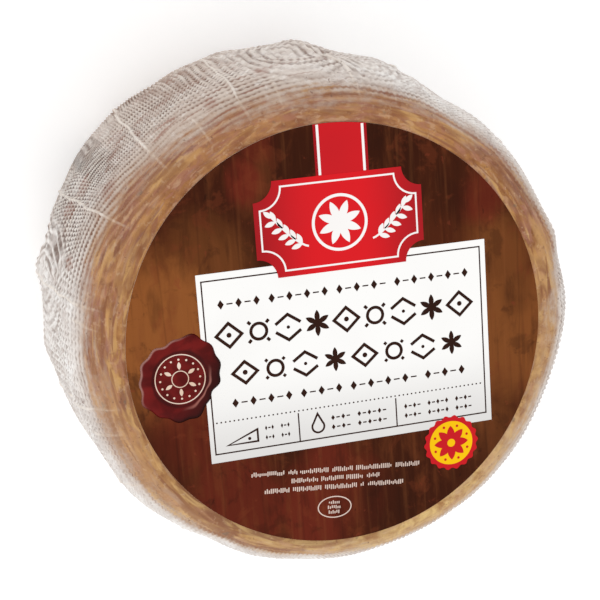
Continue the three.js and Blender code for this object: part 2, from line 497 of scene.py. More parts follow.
class Shader:
    """A material under construction: each method adds nodes and gives the value they make."""

    def __init__(self, name, roughness, shine):
        self.material = bpy.data.materials.new(name)
        self.material.use_nodes = True
        self.tree = self.material.node_tree
        self.surface = self.tree.nodes["Principled BSDF"]
        self.surface.inputs["Roughness"].default_value = roughness
        self.surface.inputs["Specular IOR Level"].default_value = shine

    def plug(self, socket, value):
        if isinstance(value, Value):
            self.tree.links.new(value.socket, socket)
        else:
            socket.default_value = value

    def node(self, kind, inputs, output=0, **settings):
        """A new node's output, with what is plugged into its inputs, by name or number."""
        node = self.tree.nodes.new("ShaderNode" + kind)
        for name, setting in settings.items():
            setattr(node, name, setting)
        for name, value in inputs.items():
            self.plug(node.inputs[name], value)
        return Value(self, node.outputs[output])

    def place(self):
        return self.node("TexCoord", {}, "Object")

    def field(self, name):
        """What make_rind or make_seal stored on the mesh under a name."""
        return self.node("Attribute", {}, "Fac", attribute_name=name)

    def maths(self, operation, a, b=0.0):
        return self.node("Math", {0: a, 1: b}, operation=operation)

    def step(self, value, low, high, to_low=0.0, to_high=1.0):
        """A soft step between two values."""
        inputs = {"Value": value, "From Min": low, "From Max": high, "To Min": to_low, "To Max": to_high}
        return self.node("MapRange", inputs, interpolation_type="SMOOTHSTEP")

    def mix(self, share, first, second):
        """Two colours mixed."""
        return self.node("Mix", {0: share, 6: first, 7: second}, 2, data_type="RGBA")

    def blend(self, share, first, second):
        """Two numbers mixed."""
        return self.node("Mix", {0: share, 2: first, 3: second}, 0, data_type="FLOAT")

    def tint(self, share, first, *second):
        """A screen colour, or a mix of two."""
        return self.mix(share, colour(*first), colour(*second[0])) if second else colour(*first)

    def vector(self, x, y, z):
        return self.node("CombineXYZ", {0: x, 1: y, 2: z})

    def parts(self, vector):
        return [self.node("SeparateXYZ", {0: vector}, axis) for axis in "XYZ"]

    def scaled(self, vector, scale):
        return self.node("VectorMath", {0: vector, 1: scale}, operation="MULTIPLY")

    def noise(self, vector, scale=1.0, detail=2.0, rough=0.5, bend=0.0):
        settings = {"Scale": scale, "Detail": detail, "Roughness": rough, "Distortion": bend}
        return self.node("TexNoise", {"Vector": vector, **settings}, "Fac")

    def chance(self, value):
        """A chance value from 0 to 1 that stays the same for the same given value."""
        return self.node("TexWhiteNoise", {"W": value}, "Value", noise_dimensions="1D")

    def groove(self, phase, narrow):
        """1 in the middle of each groove between threads, 0 on each thread's crest."""
        return (0.5 - 0.5 * self.maths("COSINE", phase * (2 * math.pi))) ** narrow

    def bump(self, height, distance):
        bumped = self.node("Bump", {"Height": height, "Distance": distance})
        self.plug(self.surface.inputs["Normal"], bumped)

    def finish(self, base, roughness=None):
        self.plug(self.surface.inputs["Base Color"], base)
        if roughness is not None:
            self.plug(self.surface.inputs["Roughness"], roughness)
        return self.material


class RindShader(Shader):
    """The rind: a waxy amber shoulder under a floury bloom that carries the cloth's print."""

    def __init__(self):
        super().__init__("rind", 0.8, 0.14)
        self.x, self.y, z = self.parts(self.place())
        length = self.maths("SQRT", self.x * self.x + self.y * self.y)
        self.east, self.north = self.x / length, self.y / length
        self.down, self.below, self.eye = (self.field(name) for name in ("down", "base", "eye"))
        pitch_round, pitch_along = LOWER_FACE_PITCH
        phase_round = self.blend(self.below, self.field("thread_round"), self.y / (pitch_round * MM))
        phase_along = self.blend(self.below, self.field("thread_along"), self.x / (pitch_along * MM))
        self.along_groove = self.groove(phase_along, 1.2)
        self.cloth_groove = self.blend(
            self.eye, self.groove(phase_round, 1.3), self.groove(self.field("thread_eye"), 1.2)
        )
        self.woven = self.field("woven") * 0.36
        self.toward = 0.5 * self.facing(LABEL_FOOT) + 0.5
        self.gilt = self.toward**3
        self.coat = self.step(self.field("bloom"), -0.2, 2.6)
        self.thick = self.field("thick") * self.coat

    def facing(self, angle):
        """1 where the rind faces an angle, -1 on the far side."""
        turn = math.radians(angle)
        return self.east * math.cos(turn) + self.north * math.sin(turn)

    def cells(self, across, tall, detail=2, rough=0.5, bend=0):
        """Noise in cells `across` mm long round the wheel and `tall` mm down it, or straight
        across the lower face."""
        spread = SIDE_RADIUS / across
        side = self.vector(self.east * spread, self.north * spread, self.down / tall)
        flat = self.vector(self.x / (across * MM), self.y / (tall * MM), 0.0)
        at = self.node("Mix", {0: self.below, 4: side, 5: flat}, 1, data_type="VECTOR")
        return self.noise(at, detail=detail, rough=rough, bend=bend)

    def layered(self, base, by, layers):
        """Mixes layers of colour into base, from first to last. Each has the cells of its noise, the
        noise at which it sets in and is full, its greatest share, and its colour, or the two
        colours that it runs between as `by` goes from 0 to 1."""
        for cells, (low, high), most, *colours in layers:
            share = self.step(self.cells(*cells), low, high) * most
            base = self.mix(share, base, self.tint(by, *colours))
        return base

    def amber(self):
        """Brown to gold in soft marbled streaks that run round the wheel, with rose and lilac
        patches, lightest towards the label's foot."""
        gilt, toward, down = self.gilt, self.toward, self.down
        broken = self.step(self.facing(BROKEN_AT), 0.45, 0.85)
        flowing = (1 - 0.8 * broken) * self.step(self.north, 0.9, 0.4, 0.3, 1)
        lower_left = self.step(self.facing(LOWER_LEFT), 0.75, 0.97)
        straw = self.step(toward, 0.2, 0.8, 0.45, 1) * flowing
        gold = self.step(self.cells(22, 8), 0.44, 0.58, 0.25, 1) * (1 - 0.6 * broken)
        vein = self.step(toward, 0.1, 0.7, 0.56, 0.8) * (1 - 0.7 * broken)
        vein_from = 0.5 - 0.05 * lower_left
        dash = self.step(toward, 0.75, 0.35, 0, 0.6)
        fleck = self.step(toward, 0.6, 0.2, 0, 0.6)

        streak = self.step(self.cells(26, 6, 3, 0.45, 0.9), 0.34, 0.66)
        mottle = self.step(self.cells(4.2, 3, 4, 0.6, 0.3), 0.32, 0.68)
        base = self.mix(
            self.blend(0.5 * broken + 0.4, streak, mottle),
            self.tint(gilt, (126, 76, 43), (160, 112, 68)),
            self.tint(gilt, (194, 139, 82), (224, 190, 126)),
        )
        blush = self.step(self.field("bloom"), -1, 0, 0, 0.35)
        base = self.mix(blush, base, self.tint(gilt, (164, 116, 94), (196, 156, 120)))
        # rose, lilac, dashes, flecks, seams, straw, gold and veins
        layers = (
            ((9, 3.6, 3, 0.55, 0.6), (0.5, 0.64), 0.65, (158, 106, 88), (200, 158, 122)),
            ((17, 4, 3, 0.5, 0.8), (0.53, 0.66), 0.6, (152, 122, 116), (196, 166, 140)),
            ((5.5, 1.5, 3, 0.55, 0.5), (0.5, 0.64), dash, (166, 112, 92)),
            ((6, 1.8, 3, 0.55, 0.5), (0.52, 0.66), fleck, (196, 156, 124)),
            ((26, 5, 2, 0.4, 1.2), (0.53, 0.63), 0.65 * flowing, (118, 70, 44), (146, 100, 68)),
            ((24, 6, 2, 0.4, 1.2), (0.5, 0.66), 0.75 * straw, (200, 152, 98), (234, 204, 142)),
            ((17, 2.9, 3, 0.45, 1), (0.48, 0.64), 0.8 * gold, (200, 154, 96), (226, 194, 132)),
            ((19, 2.6, 3, 0.45, 1), (vein_from, vein_from + 0.14), vein, (130, 78, 50), (140, 94, 70)),
        )
        base = self.layered(base, gilt, layers)
        left = self.step(self.facing(LEFT), 0.85, 0.97, 0, 0.25) * self.step(down, 2.5, 6)
        base = self.mix(left, base, colour(214, 172, 126))
        # painted shadow of the label's edge: darker within about 4 mm of the label on the lower left
        rim = self.step(down, 3.8, 0.4) * lower_left * 0.42
        base = self.mix(rim, base, colour(124, 84, 56))
        base = self.mix(self.cloth_groove * self.woven, base, colour(130, 86, 66))
        # painted highlight on the crests of the cloth's threads
        crest = self.step(self.cloth_groove, 0.3, 0.0) * self.woven * 0.7
        base = self.mix(crest, base, colour(202, 162, 122))
        # crumbs, pits and mould
        layers = (
            ((2.2, 1.7, 3, 0.6), (0.58, 0.72), 0.3, (214, 180, 146)),
            ((2, 1.6, 3, 0.6), (0.4, 0.28), 0.35, (112, 72, 56)),
            ((6, 4, 2), (0.7, 0.76), 0.45, (112, 100, 84)),
        )
        return self.layered(base, gilt, layers)

    def print_depth(self):
        """How deep the print of the cloth goes into the bloom: dots where the threads that run
        round are strongest, lines where those that run down are."""
        share = self.field("along_share")
        dots = self.step(self.down, 8, 30, 0.15, 0.45) * (1 - 0.8 * self.eye)
        dotted = self.cloth_groove * (1 - (1 - self.along_groove) * dots)
        lined = self.along_groove * (0.4 * self.cloth_groove + 0.6)
        lined = lined * (0.75 * share + 0.2) * (1 - 0.75 * self.eye)
        patch = self.step(self.cells(6, 5, 5, 0.65), 0.32, 0.6, 0.6, 1.1)
        return (dotted * (1 - 0.55 * share) + lined) * patch * self.field("strength")

    def bloom(self, depth):
        """The floury bloom: lighter and thicker on some sides and further down, darker in the
        grooves of the print."""
        thick, coat = self.thick, self.coat
        gathered = self.step(self.field("strength"), 1.1, 1.5)
        crest = self.tint(gathered, (220, 208, 198), (244, 235, 226))
        crest = self.mix(coat, self.tint(self.gilt, (184, 160, 142), (206, 184, 160)), crest)
        crest = self.mix(thick, crest, colour(243, 239, 235))
        deep = self.tint(gathered, (122, 96, 84), (104, 80, 70))
        deep = self.mix(coat, colour(134, 98, 76), deep)
        deep = self.mix(thick * thick * (1 - 0.5 * self.eye), deep, colour(170, 158, 150))
        base = self.mix(self.step(depth, 0.04, 0.9), crest, deep)
        # stains, bands, slits, creases, chalk, tufts, pepper and salt
        bands = 0.6 * self.field("along_share")
        pepper = 0.35 * thick + 0.35
        layers = (
            ((16, 5, 5, 0.6), (0.42, 0.68), 0.4, (170, 142, 126), (206, 195, 188)),
            ((3.4, 30, 2), (0.46, 0.62), bands, (150, 118, 102), (200, 190, 183)),
            ((13, 1.5, 2, 0.4, 0.4), (0.62, 0.7), 0.7 * (1 - thick), (158, 116, 102)),
            ((7, 15, 3, 0.5, 0.8), (0.5, 0.62), 0.5 * thick, (196, 186, 180)),
            ((9, 9, 6, 0.7), (0.46, 0.66), 0.7 * thick, (249, 247, 245)),
            ((3.4, 2.6, 5, 0.65, 0.5), (0.5, 0.64), 0.75 * thick, (200, 187, 180)),
            ((1.9, 1.6, 4, 0.65), (0.46, 0.3), pepper, (140, 114, 100), (168, 154, 146)),
            ((2.1, 1.8, 3, 0.6), (0.56, 0.68), 0.5 * coat, (243, 238, 234)),
        )
        base = self.layered(base, thick, layers)
        rosy = self.field("blotch") * (0.35 * self.cloth_groove + 0.3)
        base = self.mix(rosy, base, colour(150, 106, 90))
        return self.mix(self.step(self.field("fold"), 0.35, 0.95, 0, 0.75), base, colour(240, 234, 228))

    def cover(self):
        """How far the bloom covers the amber: it thins out in streaks and crumbs towards the
        shoulder, last on the threads' crests."""
        veil = self.cells(22, 2.8, 4, 0.55, 0.6) - 0.5
        dust = self.cells(3.4, 2.6, 5, 0.65) - 0.5
        cover = self.field("bloom") + 2.1 * veil + 1.5 * dust - self.cloth_groove * self.woven
        return self.step(cover, -0.2, 1.1)


def rind_material():
    s = RindShader()
    depth, cover = s.print_depth(), s.cover()
    base = s.mix(cover, s.amber(), s.bloom(depth))
    base = s.mix(0.4 * s.field("hairline"), base, colour(230, 212, 192))
    speck = s.step(s.noise(s.place(), 700), 0.68, 0.74, 0, 0.6)
    base = s.mix(speck, base, colour(112, 78, 64))
    fibres = s.noise(s.place(), 1100, 5, 0.7)
    s.bump(0.6 * fibres - 0.8 * depth, 0.4 * MM)
    return s.finish(base, s.step(cover, 0, 1, 0.52, 0.9))


class PaperShader(Shader):
    """Something printed on the label, with the paper's fine grain. x and y are in mm from the
    label's middle."""

    def __init__(self, name, roughness=0.5, shine=0.06):
        super().__init__(name, roughness, shine)
        self.at = self.place()
        x, y, z = self.parts(self.at)
        self.x = (x - LABEL_CENTRE.x) / MM
        self.y = (y - LABEL_CENTRE.y) / MM

    def clouded(self, scale, low, high, most, base, second):
        """A second colour mixed into base in clouds."""
        return self.mix(self.step(self.noise(self.at, scale), low, high, 0, most), base, second)

    def finish(self, base, scale=2600, deep=0.02):
        self.bump(self.noise(self.at, scale, 3), deep * MM)
        return super().finish(base)


def patch_mask(s, patches, ragged):
    """A soft mask that is high inside any of the patches, with a ragged edge."""
    total = None
    for across, up, radius, strength in patches:
        dx = (s.x - across) / radius
        dy = (s.y - up) * (PATCH_SQUASH / radius)
        away = s.maths("SQRT", dx * dx + dy * dy)
        one = s.step(away + ragged, 1.2, 0.5, 0, strength)
        total = one if total is None else s.maths("MAXIMUM", total, one)
    return total


def label_material():
    """Brown printed ground: worn boards, stained and scuffed."""
    s = PaperShader("label_paper", shine=0.04)
    sway = s.noise(s.scaled(s.at, (30, 12, 1)), detail=3)
    across = s.x / BOARD_WIDTH + 0.5 * sway
    board = s.chance(s.maths("FLOOR", across))
    gap = s.step(abs(s.maths("FRACT", across) - 0.5), 0.46, 0.5, 0, 0.2)
    grain = s.noise(s.scaled(s.at, (500, 22, 1)), detail=4, rough=0.6)
    smear = s.noise(s.scaled(s.at, (120, 34, 1)), detail=5, rough=0.6, bend=0.4)
    cloud = s.noise(s.at, 80, 6, 0.65, 0.5)
    scuff = s.noise(s.scaled(s.at, (330, 210, 1)), detail=4, rough=0.6, bend=0.6)
    ragged = 0.9 * smear + 0.7 * cloud - 0.8

    base = s.tint(board, (60, 25, 11), (78, 34, 15))
    for tone, patches in LABEL_PATCHES:
        base = s.mix(patch_mask(s, patches, ragged), base, colour(*tone))
    for noise, low, high, most, tone in (
        (smear, 0.5, 0.66, 0.35, (114, 60, 31)),
        (smear, 0.48, 0.34, 0.4, (46, 19, 9)),
        (cloud, 0.56, 0.64, 0.25, (122, 57, 32)),
        (cloud, 0.44, 0.36, 0.35, (44, 18, 9)),
        (grain, 0.5, 0.72, 0.14, (146, 88, 50)),
        (grain, 0.46, 0.28, 0.2, (38, 15, 7)),
        (scuff, 0.64, 0.72, 0.35, (128, 56, 36)),
        (scuff, 0.34, 0.27, 0.5, (38, 16, 8)),
    ):
        base = s.mix(s.step(noise, low, high, 0, most), base, colour(*tone))
    return s.finish(s.mix(gap, base, colour(38, 15, 7)))


def ink_material(name, tone, second, roughness=0.5, scale=30):
    """Printed ink: an even colour with faint mottling towards a second one."""
    s = PaperShader(name, roughness)
    return s.finish(s.clouded(scale, 0.35, 0.7, 0.5, colour(*tone), colour(*second)))


def panel_material():
    """White card that greys towards its lower edge."""
    s = PaperShader("label_panel")
    base = s.tint(s.step(s.y, -6, -34), (250, 249, 247), (222, 220, 218))
    return s.finish(s.clouded(40, 0.4, 0.7, 0.25, base, colour(240, 238, 235)))


def emblem_material():
    """Red print, brightest in the middle of the emblem."""
    s = PaperShader("emblem_red")
    side = s.step(abs(s.x - EMBLEM_CENTRE[0]), 6, 28.5)
    base = s.tint(side, (218, 28, 35), (160, 26, 32))
    return s.finish(s.clouded(60, 0.4, 0.7, 0.2, base, colour(196, 34, 42)))


def wax_material():
    """Dark red sealing wax, with painted light and shade as if lit from the upper left. The vertex
    attribute share runs from 0 in the middle to 1 at the rim."""
    s = PaperShader("seal_wax", 0.4, shine=0.07)
    lean = (s.x - SEAL_CENTRE[0]) / 12 - (s.y - SEAL_CENTRE[1]) * (0.7 / 12)
    share = s.field("share")
    cloud = s.noise(s.at, 160, 4, bend=0.6)
    base = s.tint(s.step(cloud, 0.35, 0.68), (82, 15, 14), (112, 24, 22))
    # painted shade on the raised rim's lower right side, painted shadow in the ditch inside it, a
    #     # painted highlight on the rim's inner slope, a painted highlight on its upper left edge and
    #     # painted shade on its lower right edge
    for mask, tone in (
        (s.step(lean, 0.1, 1.1, 0, 0.85) * s.step(share, 0.64, 0.76), (44, 13, 12)),
        (s.step(abs(share - 0.66), 0.07, 0.0, 0, 0.75), (50, 12, 12)),
        (s.step(abs(share - 0.73), 0.05, 0.0) * s.step(lean, 0.5, 0.95, 0, 0.6), (196, 130, 118)),
        (s.step(share, 0.93, 0.99) * s.step(lean, -0.3, -1.0, 0, 0.65), (206, 160, 150)),
        (s.step(share, 0.88, 0.99) * s.step(lean, 0.2, 0.8, 0, 0.8), (28, 9, 8)),
    ):
        base = s.mix(mask, base, colour(*tone))
    return s.finish(base, scale=420, deep=0.08)


# ---- the label and its print ---------------------------------------------------------------
label_low, label_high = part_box("label")
LABEL_CENTRE = (label_low + label_high) / 2
LABEL_TOP = label_high.z
LABEL_RADIUS = (label_high.x - label_low.x) / 2 / MM
LABEL_THICKNESS = (label_high.z - label_low.z) / MM
WHEEL_TOP = label_low.z

PANEL = (-42.4, -33.6, 47.9, 24.6)
KEYLINE = (-40.9, -30.9, 46.1, 22.4)
DOTS_UP = -21.1
CELL_WALLS = (-14.6, 16.6)
EMBLEM_CENTRE = (2.4, 35.2)
EMBLEM_SIZE = (52, 29)
RIBBON = (-4, 12.4)
SEAL_CENTRE = (-49.6, -5.8)
SEAL_RADIUS = 12.5
BADGE_CENTRE = (34, -39.1)
BADGE_RADIUS = 9
STAMP_CENTRE = (-5.2, -53.8)
SMALL_PRINT_TURN = -5.2
# Shapes of one print that follow each other are a hair apart in height, by turns of four.
HAIR = 0.002
HAIRS = 4
LABEL_SIDES = 360
CUT_EDGE = 0.08
SEAL_SIDES = 96
SEAL_LOBES = (2, 3, 5, 8, 13)
# (share of the way to the rim, height)
SEAL_PROFILE = (
    (0.3, 0.2), (0.58, 0.2), (0.64, 0.24), (0.68, 0.36), (0.74, 0.48), (0.82, 0.52), (0.9, 0.46),
    (0.96, 0.3), (1.0, 0.02),
)
BEAD_GAP = 1.9
TICK_STEP = 0.62
TICK_WIDTH = 0.34
TICK_GAP = 1.1


def on_label(x, y, height, ground=LABEL_TOP):
    """A place in mm from the label's middle, and above its face or other ground, in metres."""
    return LABEL_CENTRE.x + MM * x, LABEL_CENTRE.y + MM * y, ground + MM * height


class Print:
    """Thin flat shapes of one colour on the label. Points are (x, y) in mm from the label's
    middle, and each shape is a closed slab from one height above the label to another."""

    def __init__(self, low, high):
        self.low, self.high = low, high
        self.verts, self.faces = [], []
        self.count = 0

    def add_level(self, points, height):
        height += HAIR * (self.count % HAIRS)
        start = len(self.verts)
        self.verts += [on_label(x, y, height) for x, y in points]
        return list(range(start, len(self.verts)))

    def shape(self, outline):
        """A filled outline, given anticlockwise."""
        self.count += 1
        low = self.add_level(outline, self.low)
        high = self.add_level(outline, self.high)
        self.faces += [high, low[::-1]]
        for i in range(len(outline)):
            j = (i + 1) % len(outline)
            self.faces.append([low[i], low[j], high[j], high[i]])

    def strip(self, right, left, closed=False):
        """The area between two lines of points that run the same way."""
        self.count += 1
        levels = [self.add_level(line, h) for h in (self.low, self.high) for line in (right, left)]
        low_r, low_l, high_r, high_l = levels
        count = len(right)
        for i in range(count if closed else count - 1):
            j = (i + 1) % count
            self.faces.append([high_r[i], high_r[j], high_l[j], high_l[i]])
            self.faces.append([low_r[i], low_l[i], low_l[j], low_r[j]])
            self.faces.append([low_r[i], low_r[j], high_r[j], high_r[i]])
            self.faces.append([low_l[j], low_l[i], high_l[i], high_l[j]])
        if not closed:
            self.faces.append([low_r[0], high_r[0], high_l[0], low_l[0]])
            self.faces.append([low_r[-1], low_l[-1], high_l[-1], high_r[-1]])

    def stroke(self, points, width, closed=False):
        """A line of even width along points, with mitred corners."""
        right, left = [], []
        count = len(points)
        for i, point in enumerate(points):
            here = Vector(point)
            before = Vector(points[(i - 1) % count]) if closed or i else None
            after = Vector(points[(i + 1) % count]) if closed or i < count - 1 else None
            ways = [(here - before).normalized()] if before else []
            ways += [(after - here).normalized()] if after else []
            side = sum((Vector((w.y, -w.x)) for w in ways), Vector((0, 0))).normalized()
            stretch = 1 / max(0.4, side.dot(Vector((ways[0].y, -ways[0].x))))
            right.append(here + side * (width / 2 * stretch))
            left.append(here - side * (width / 2 * stretch))
        self.strip(right, left, closed)

    def ring(self, centre, radius, width, sides=64):
        self.stroke(circle(centre, radius, sides), width, closed=True)

    def disc(self, centre, radius, sides=48):
        self.shape(circle(centre, radius, sides))

    def box(self, left, low, right, high):
        self.shape([(left, low), (right, low), (right, high), (left, high)])

    def make(self, name, material, slot):
        mesh = bpy.data.meshes.new(name)
        mesh.from_pydata(self.verts, [], self.faces)
        add_piece(name, mesh, slot, material)


def arc(centre, radius, first, last, steps, squash=1.0):
    """Points on an arc from one angle to another."""
    points = []
    for i in range(steps + 1):
        turn = math.radians(first + (last - first) * i / steps)
        points.append(
            (centre[0] + radius * math.cos(turn), centre[1] + radius * squash * math.sin(turn))
        )
    return points


def polar(centre, radius, angle):
    return arc(centre, radius, angle, angle, 1)[0]


def circle(centre, radius, sides):
    return arc(centre, radius, 0, 360 - 360 / sides, sides - 1)


def turned_about(points, centre, degrees):
    """Points turned about a centre."""
    c, s = math.cos(math.radians(degrees)), math.sin(math.radians(degrees))
    return [
        (
            centre[0] + (x - centre[0]) * c - (y - centre[1]) * s,
            centre[1] + (x - centre[0]) * s + (y - centre[1]) * c,
        )
        for x, y in points
    ]


def petal(root, length, width, degrees):
    """A pointed leaf shape that starts at root and points along an angle."""
    upper = [(length * t, width / 2 * math.sin(math.pi * t) ** 0.8) for t in np.linspace(0, 1, 12)]
    lower = [(x, -y) for x, y in upper[1:-1]]
    outline = lower + upper[::-1]
    return turned_about([(root[0] + x, root[1] + y) for x, y in outline], root, degrees)


def make_label_paper():
    """The paper disc, with a softened cut edge."""
    levels = (
        (LABEL_RADIUS - CUT_EDGE, LABEL_THICKNESS),
        (LABEL_RADIUS - 0.3 * CUT_EDGE, LABEL_THICKNESS - 0.3 * CUT_EDGE),
        (LABEL_RADIUS, LABEL_THICKNESS - CUT_EDGE),
        (LABEL_RADIUS, 0),
    )
    rings = [
        [on_label(x, y, height, WHEEL_TOP) for x, y in circle((0, 0), radius, LABEL_SIDES)]
        for radius, height in levels
    ]
    mesh, quads = skin("label_paper", np.array(rings), smooth_quads=False)
    edge = ink_material("paper_edge", (196, 170, 150), (170, 140, 120), 0.7)
    paper = add_piece("label_paper", mesh, "label_paper", label_material(), edge)
    # All of the rim shows the cut edge, except its topmost bevel.
    for polygon in mesh.polygons[LABEL_SIDES : len(quads)]:
        polygon.material_index = 1
    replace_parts(paper, "label")


def frieze(ink, left, right, middle, height, count, width):
    """A row of large ornaments of four kinds by turns."""
    pitch = (right - left) / count
    half = min(height, pitch * 0.86) / 2
    for i in range(count):
        x = left + pitch * (i + 0.5)
        centre = (x, middle)
        kind = i % 4
        if kind == 0:
            tall = height / 2 - width / 2
            ink.stroke(
                [(x - half, middle), (x, middle - tall), (x + half, middle), (x, middle + tall)],
                width,
                closed=True,
            )
            ink.disc(centre, width * 0.8, 20)
        elif kind == 1:
            ink.ring(centre, half * 0.62, width, 40)
            for turn in range(0, 360, 90):
                start = polar(centre, half * 0.62 + width, turn + 45)
                ink.stroke([start, polar(centre, height / 2 * 1.12, turn + 45)], width)
        elif kind == 2:
            for lift in (-1, 1):
                y = middle + lift * height * 0.2
                tip = height * 0.28 * lift
                ink.stroke([(x - half, y - tip * 0.2), (x, y + tip), (x + half, y - tip * 0.2)], width)
            ink.disc(centre, width * 0.55, 16)
        else:
            for turn in range(0, 360, 60):
                ink.shape(petal(centre, height / 2, height * 0.2, turn + 30))


def beads(ink, left, right, middle, height, groups):
    """A row of small lozenges and dashes by turns, in groups of the given counts."""
    pitch = (right - left - BEAD_GAP * (len(groups) - 1)) / sum(groups)
    x = left
    for group in groups:
        for k in range(group):
            centre = x + pitch * (k + 0.5)
            if k % 2:
                ink.box(centre - pitch * 0.34, middle - 0.2, centre + pitch * 0.34, middle + 0.2)
            else:
                tips = ((0, -0.5), (0.36, 0), (0, 0.5), (-0.36, 0))
                ink.shape([(centre + pitch * x, middle + height * y) for x, y in tips])
        x += pitch * group + BEAD_GAP


def ticks(ink, left, right, middle, height, groups, about, rng):
    """A row of fine uprights in groups as long as the given counts, turned about a point."""
    unit = (right - left - TICK_GAP * (len(groups) - 1)) / sum(groups)
    x = left
    for group in groups:
        end = x + unit * group
        while x < end - 0.1:
            low = middle - height / 2 + height * rng.choice([0, 0, 0.2])
            high = middle + height / 2 - height * rng.choice([0, 0, 0.3])
            outline = [(x, low), (x + TICK_WIDTH, low), (x + TICK_WIDTH, high), (x, high)]
            ink.shape(turned_about(outline, about, SMALL_PRINT_TURN))
            x += TICK_STEP
        x = end + TICK_GAP


def make_panel():
    panel = Print(-0.01, 0.03)
    panel.box(*PANEL)
    panel.make("label_panel", panel_material(), "print_white")


def make_panel_ink():
    ink = Print(0.02, 0.05)
    left, low, right, high = KEYLINE
    ink.stroke([(left, low), (right, low), (right, high), (left, high)], 0.42, closed=True)
    for x in np.arange(left + 1.1, right - 0.6, 1.34):
        ink.disc((x, DOTS_UP), 0.26, 12)
    for x in CELL_WALLS:
        ink.stroke([(x, low), (x, DOTS_UP - 0.7)], 0.4)
    beads(ink, -37, 42.4, 14.9, 2.9, (5, 7, 6, 9))
    frieze(ink, -38.4, 43.4, 5.4, 8.2, 9, 0.95)
    frieze(ink, -34.6, 40.4, -6.6, 7.6, 8, 0.95)
    beads(ink, -35, 40, -15.7, 2.9, (7, 5, 8, 5))
    # a wedge, a drop and short lines of beads in the three cells below
    ink.stroke([(-37, -28.6), (-27.6, -28.6), (-27.6, -24.8)], 0.6, closed=True)
    ink.disc((-30.2, -27.4), 0.5, 16)
    for y in (-24.9, -27.9):
        beads(ink, -25.4, -17.4, y, 1.5, (3, 3))
    drop = arc((-8.6, -27), 1.9, 140, 400, 20)
    ink.stroke(drop + [(-8.6, -22.9)], 0.6, closed=True)
    for y in (-24.9, -27.9):
        beads(ink, -4.6, 13.6, y, 1.7, (4, 6))
    for y in (-24.9, -27.9):
        beads(ink, 19, 41.6, y, 1.7, (4, 5, 4))
    ink.make("label_ink", INK, "print_brown")


def make_emblem():
    """A red plaque with scooped corners, hung from a ribbon that comes down from the label's
    edge, with a rosette between two ears of wheat."""
    red = Print(0.04, 0.08)
    wide, tall = EMBLEM_SIZE[0] / 2, EMBLEM_SIZE[1] / 2
    cx, cy = EMBLEM_CENTRE

    def plaque(inset, scoop):
        w, h = wide - inset, tall - inset
        outline = []
        for sx, sy, first in ((1, -1, 180), (1, 1, 270), (-1, 1, 0), (-1, -1, 90)):
            corner = (cx + sx * w, cy + sy * h)
            outline += arc(corner, scoop, first, first - 90, 10)
        return outline

    red.shape(plaque(0, 6))
    red.make("emblem_red", emblem_material(), "print_red")

    ribbon = Print(-0.01, 0.03)
    rim = LABEL_RADIUS - 0.1
    top = [(x, math.sqrt(rim**2 - x**2)) for x in np.linspace(RIBBON[1], RIBBON[0], 16)]
    foot = cy + tall - 0.5
    ribbon.shape([(RIBBON[0], foot), (RIBBON[1], foot)] + top)
    ribbon.make("ribbon", RED_INK, "print_red")

    margins = Print(0.01, 0.04)
    for x in (RIBBON[0] + 0.45, RIBBON[1] - 0.45):
        margins.stroke([(x, foot + 0.6), (x, math.sqrt(rim**2 - x**2) - 0.2)], 0.9)
    margins.make("ribbon_margins", DARK_RED_INK, "print_red")

    white = Print(0.07, 0.11)
    outline = plaque(1.9, 6.6)
    white.stroke(outline, 0.55, closed=True)
    white.ring(EMBLEM_CENTRE, 8.2, 0.9)
    for turn in range(0, 360, 45):
        white.shape(petal(EMBLEM_CENTRE, 6.9, 2.5, turn + 22.5))
    for side in (-1, 1):
        stem = [(cx + side * (10 + 10.5 * t), cy - 6 + 9.5 * t**1.4) for t in np.linspace(0, 1, 12)]
        white.stroke(stem, 0.6)
        for k in range(2, 11, 2):
            for lift in (-1, 1):
                lean = 42 * lift if side > 0 else 180 - 42 * lift
                white.shape(petal(stem[k], 3.6, 1.5, lean + side * 24))
        white.shape(petal(stem[-1], 3.4, 1.5, 40 if side > 0 else 140))
    white.make("emblem_white", WHITE_INK, "print_white")

    lines = Print(0.02, 0.06)
    for x in (RIBBON[0] + 1.3, RIBBON[1] - 1.3):
        lines.stroke([(x, foot + 0.6), (x, math.sqrt(rim**2 - x**2) - 0.2)], 0.8)
    lines.make("ribbon_lines", WHITE_INK, "print_white")


def make_seal():
    """A blob of sealing wax pressed with a ring and a rosette, in low relief."""
    rng = np.random.default_rng(SEED + 1)
    turn = np.arange(SEAL_SIDES) * 2 * math.pi / SEAL_SIDES
    rim = SEAL_RADIUS + sum(
        0.8 / (1 + 0.2 * k) * (a * np.cos(order * turn) + b * np.sin(order * turn))
        for k, (order, (a, b)) in enumerate(zip(SEAL_LOBES, rng.uniform(-1, 1, (5, 2))))
    )
    share, height = (np.array(values)[:, None] for values in zip(*SEAL_PROFILE))
    reach = share * (SEAL_RADIUS + (rim - SEAL_RADIUS) * smooth((share - 0.55) / 0.4))
    ripple = 0.05 * np.sin(7 * turn) * smooth((share - 0.65) / 0.2) * (share < 1)
    x, y = SEAL_CENTRE[0] + reach * np.cos(turn), SEAL_CENTRE[1] + reach * np.sin(turn)
    mesh, quads = skin("seal_wax", np.stack(on_label(x, y, height + ripple), axis=-1))
    shares = np.repeat(share, SEAL_SIDES).astype(np.float32)
    mesh.attributes.new("share", "FLOAT", "POINT").data.foreach_set("value", shares)
    add_piece("seal_wax", mesh, "print_wax", wax_material())

    gold = Print(0.18, 0.23)
    gold.ring(SEAL_CENTRE, SEAL_RADIUS * 0.6, 0.3)
    gold.ring(SEAL_CENTRE, SEAL_RADIUS * 0.2, 0.28, 32)
    for k in range(16):
        gold.disc(polar(SEAL_CENTRE, SEAL_RADIUS * 0.48, k * 22.5), 0.32, 12)
    for angle in range(30, 360, 60):
        gold.shape(petal(polar(SEAL_CENTRE, SEAL_RADIUS * 0.23, angle), 2.4, 1.1, angle))
    gold.make("seal_gold", GOLD_INK, "print_white")


